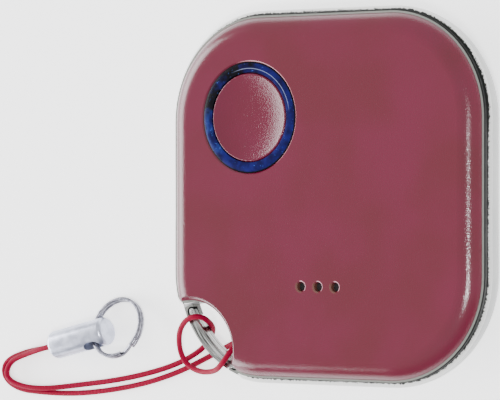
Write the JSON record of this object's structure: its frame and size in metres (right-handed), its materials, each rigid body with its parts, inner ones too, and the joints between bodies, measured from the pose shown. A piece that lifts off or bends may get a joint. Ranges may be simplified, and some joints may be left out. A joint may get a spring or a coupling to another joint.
{
  "type": "smart button",
  "caption": "Flat square key-fob button: domed push button in a light ring, sound holes, sealed two-part shell, corner bail, cord, crimp and small split ring.",
  "frame": {"origin": "centre of the flat back, which lies on the floor", "axes": "+Z out of the front face, +X to the right and +Y up as the front is seen, the bail's corner at -X -Y"},
  "size_m": [0.061, 0.0384, 0.006],
  "materials": {
    "red_front": "gloss, painted red",
    "red_button": "satin gloss",
    "blue_ring": "glossy deep blue translucent",
    "silver_lip": "satin silver",
    "silver_shell": "satin silver paint",
    "seal_black": "matt black",
    "bail_steel": "satin steel",
    "crimp_nickel": "satin nickel",
    "cord_red": "thin smooth cord",
    "board_green": "board with solder mask",
    "cell_steel": "bright steel",
    "seal_plastic": "natural plastic",
    "contact_gold": "plated contact",
    "contact_steel": "plated steel",
    "switch_black": "moulded black",
    "plunger_ivory": "moulded ivory",
    "led_white": "white package, yellow lens",
    "chip_black": "black epoxy",
    "crystal_can": "metal lid",
    "ceramic_tan": "fired ceramic",
    "buzzer_brass": "rolled brass",
    "buzzer_white": "silvered ceramic",
    "mesh_dark": "fine woven mesh"
  },
  "bodies": {
    "housing": {"rear_housing": "silver_shell", "lanyard_bail": "bail_steel", "bail_pins": "bail_steel", "lanyard_cord": "cord_red", "cord_crimp": "crimp_nickel", "circuit_board": "board_green", "cell_can": "cell_steel", "cell_seal": "seal_plastic", "cell_cap": "cell_steel", "negative_leaf": "contact_steel", "positive_clip": "contact_gold", "switch_base": "switch_black", "switch_dome": "contact_steel", "switch_plate": "contact_steel", "ring_leds": "led_white", "radio_chip": "chip_black", "chip_crystal": "crystal_can", "chip_antenna": "ceramic_tan", "board_passives": "ceramic_tan", "buzzer_pins": "contact_gold"},
    "cover": {"front_cover": "red_front", "bezel_frame": "silver_lip", "seal_gasket": "seal_black", "light_ring": "blue_ring", "buzzer_plate": "buzzer_brass", "buzzer_ceramic": "buzzer_white", "sound_mesh": "mesh_dark"},
    "button": {"button_cap": "red_button"},
    "plunger": {"switch_plunger": "plunger_ivory"},
    "ring": {"key_ring": "bail_steel"}
  },
  "joints": [
    {"name": "cover_lift", "type": "slide", "parent": "housing", "child": "cover", "axis": [0, 0, 1], "range_m": [0, 0.012]},
    {"name": "button_press", "type": "slide", "parent": "cover", "child": "button", "axis": [0, 0, 1], "range_m": [-0.00025, 0], "stiffness_N_per_m": 4000},
    {"name": "plunger_press", "type": "slide", "parent": "housing", "child": "plunger", "axis": [0, 0, 1], "range_m": [-0.00025, 0], "deforming": ["switch_dome"]},
    {"name": "key_ring_swing", "type": "hinge", "parent": "housing", "child": "ring", "pos_m": [-0.03005, -0.01392, 0.00145], "axis": [-0.2273, 0.9118, -0.342], "range_deg": [-100, 100]}
  ],
  "couplings": [
    {"joint": "plunger_press", "follows": "button_press", "ratio": 1}
  ]
}
